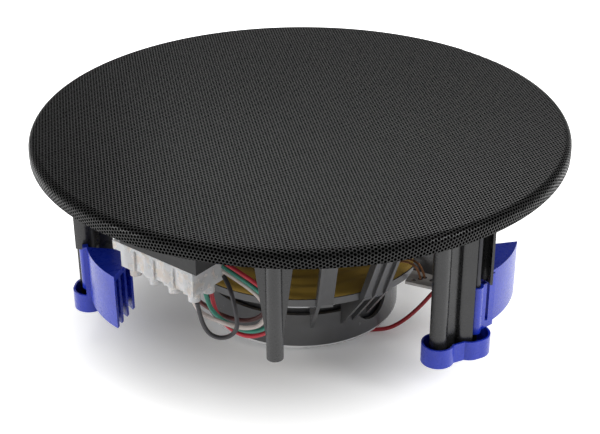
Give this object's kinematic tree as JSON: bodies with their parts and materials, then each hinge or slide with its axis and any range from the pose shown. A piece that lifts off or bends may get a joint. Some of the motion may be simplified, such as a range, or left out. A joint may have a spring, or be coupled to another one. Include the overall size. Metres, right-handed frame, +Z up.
{
  "type": "ceiling loudspeaker",
  "caption": "Round flush-mount ceiling loudspeaker: perforated steel grille, moulded frame with swing-out dog clamps, cone driver in an open basket, and a line transformer with terminal block.",
  "frame": {"origin": "under the centre of the magnet back plate, on the surface that the loudspeaker stands on", "axes": "+Z up, towards the grille; -Y towards the viewer of the picture; +X to its right"},
  "size_m": [0.28, 0.28, 0.1111],
  "materials": {
    "block_nylon": "natural translucent",
    "box_plastic": "dark grey moulded",
    "coil_former": "foil",
    "cone_paper": "black coated paper",
    "contact_brass": "plain",
    "copper_wire": "copper",
    "dog_nylon": "blue moulded",
    "ferrite": "black ferrite",
    "frame_plastic": "dark grey moulded",
    "grille_cloth": "black scrim",
    "grille_steel": "semi-matt black powder coat",
    "screw_steel": "zinc plated",
    "spider_cloth": "yellow-brown doped cloth",
    "surround_foam": "black",
    "tag_plastic": "grey",
    "wire_black": "insulation",
    "wire_brown": "insulation",
    "wire_green": "insulation",
    "wire_lead": "insulation",
    "wire_red": "insulation",
    "wire_white": "insulation",
    "zinc_steel": "zinc plated"
  },
  "bodies": {
    "baffle": {"back_plate": "zinc_steel", "baffle_frame": "frame_plastic", "basket": "frame_plastic", "basket_screw_1": "screw_steel", "basket_screw_2": "screw_steel", "basket_screw_3": "screw_steel", "driver_screw_1": "screw_steel", "driver_screw_2": "screw_steel", "driver_screw_3": "screw_steel", "driver_screw_4": "screw_steel", "driver_screw_5": "screw_steel", "driver_screw_6": "screw_steel", "foot_cup_back": "dog_nylon", "foot_cup_left": "dog_nylon", "foot_cup_right": "dog_nylon", "grille": "grille_steel", "grille_cloth": "grille_cloth", "grille_magnet_1": "zinc_steel", "grille_magnet_2": "zinc_steel", "grille_magnet_3": "zinc_steel", "grille_magnet_4": "zinc_steel", "magnet_ring": "ferrite", "spider": "spider_cloth", "surround": "surround_foam", "tag_board": "tag_plastic", "terminal_block": "block_nylon", "terminal_contact_1": "contact_brass", "terminal_contact_2": "contact_brass", "terminal_contact_3": "contact_brass", "terminal_contact_4": "contact_brass", "tinsel_lead_1": "copper_wire", "tinsel_lead_2": "copper_wire", "top_plate": "zinc_steel", "transformer_housing": "box_plastic", "wire_black": "wire_black", "wire_brown": "wire_brown", "wire_green": "wire_green", "wire_lead": "wire_lead", "wire_red": "wire_red", "wire_white": "wire_white"},
    "cone_piston": {"cone": "cone_paper", "dust_cap": "cone_paper", "voice_coil_former": "coil_former", "voice_coil_winding": "copper_wire"},
    "clamp_right_screw": {"clamp_screw_right": "screw_steel"},
    "clamp_right_carriage": {"clamp_insert_right": "contact_brass"},
    "clamp_right_dog": {"clamp_dog_right": "dog_nylon"},
    "clamp_left_screw": {"clamp_screw_left": "screw_steel"},
    "clamp_left_carriage": {"clamp_insert_left": "contact_brass"},
    "clamp_left_dog": {"clamp_dog_left": "dog_nylon"},
    "clamp_back_screw": {"clamp_screw_back": "screw_steel"},
    "clamp_back_carriage": {"clamp_insert_back": "contact_brass"},
    "clamp_back_dog": {"clamp_dog_back": "dog_nylon"}
  },
  "joints": [
    {"name": "cone_travel", "type": "slide", "parent": "baffle", "child": "cone_piston", "axis": [0, 0, 1], "range_m": [-0.0025, 0.0025], "stiffness_N_per_m": 1500, "deforming": ["surround", "spider", "tinsel_lead_1", "tinsel_lead_2"]},
    {"name": "clamp_right_turn", "type": "hinge", "parent": "baffle", "child": "clamp_right_screw", "pos_m": [0.0861, -0.0792, 0.1], "axis": [0, 0, -1], "range_deg": [0, 2700]},
    {"name": "clamp_right_climb", "type": "slide", "parent": "baffle", "child": "clamp_right_carriage", "axis": [0, 0, 1], "range_m": [0, 0.012]},
    {"name": "clamp_right_swing", "type": "hinge", "parent": "clamp_right_carriage", "child": "clamp_right_dog", "pos_m": [0.0861, -0.0792, 0.034], "axis": [0, 0, -1], "range_deg": [0, 105]},
    {"name": "clamp_left_turn", "type": "hinge", "parent": "baffle", "child": "clamp_left_screw", "pos_m": [-0.11164, -0.03497, 0.1], "axis": [0, 0, -1], "range_deg": [0, 2700]},
    {"name": "clamp_left_climb", "type": "slide", "parent": "baffle", "child": "clamp_left_carriage", "axis": [0, 0, 1], "range_m": [0, 0.012]},
    {"name": "clamp_left_swing", "type": "hinge", "parent": "clamp_left_carriage", "child": "clamp_left_dog", "pos_m": [-0.11164, -0.03497, 0.034], "axis": [0, 0, -1], "range_deg": [0, 105]},
    {"name": "clamp_back_turn", "type": "hinge", "parent": "baffle", "child": "clamp_back_screw", "pos_m": [0.02554, 0.11417, 0.1], "axis": [0, 0, -1], "range_deg": [0, 2700]},
    {"name": "clamp_back_climb", "type": "slide", "parent": "baffle", "child": "clamp_back_carriage", "axis": [0, 0, 1], "range_m": [0, 0.012]},
    {"name": "clamp_back_swing", "type": "hinge", "parent": "clamp_back_carriage", "child": "clamp_back_dog", "pos_m": [0.02554, 0.11417, 0.034], "axis": [0, 0, -1], "range_deg": [0, 105]}
  ],
  "couplings": [
    {"joint": "clamp_right_turn", "follows": "clamp_right_climb", "rad_per_m": 3927},
    {"joint": "clamp_left_turn", "follows": "clamp_left_climb", "rad_per_m": 3927},
    {"joint": "clamp_back_turn", "follows": "clamp_back_climb", "rad_per_m": 3927}
  ]
}
